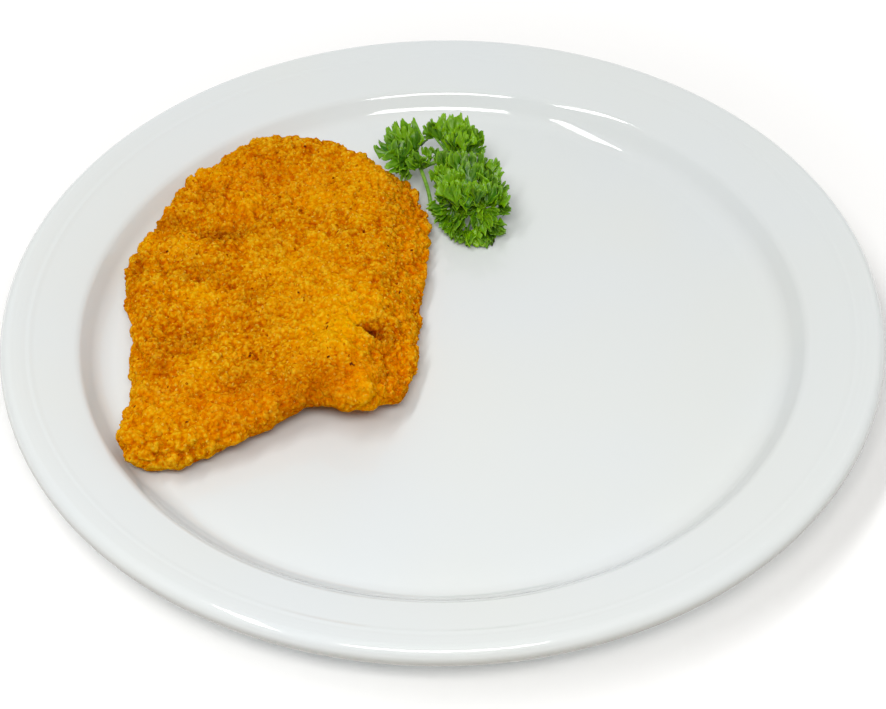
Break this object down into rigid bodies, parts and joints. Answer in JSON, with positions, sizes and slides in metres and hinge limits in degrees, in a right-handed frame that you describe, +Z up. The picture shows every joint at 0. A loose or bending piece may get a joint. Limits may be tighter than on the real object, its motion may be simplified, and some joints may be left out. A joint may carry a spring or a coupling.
{
  "type": "schnitzel",
  "caption": "Breaded fried schnitzel with a sprig of curly parsley beside it, served on a round porcelain dinner plate with a deep well and a sloping rim.",
  "frame": {"origin": "centre of the plate's foot ring, on the surface that the plate stands on", "axes": "+Z up out of the plate; the schnitzel lies on the -X half of the plate with its curled flap towards -Y; the parsley sprig lies towards +Y, next to the schnitzel's +X side"},
  "size_m": [0.27, 0.27, 0.0299],
  "materials": {
    "glaze": "gloss",
    "crust": "satin",
    "leaf": "satin"
  },
  "bodies": {
    "root": {"plate": "glaze", "schnitzel": "crust", "parsley": "leaf"}
  },
  "joints": []
}
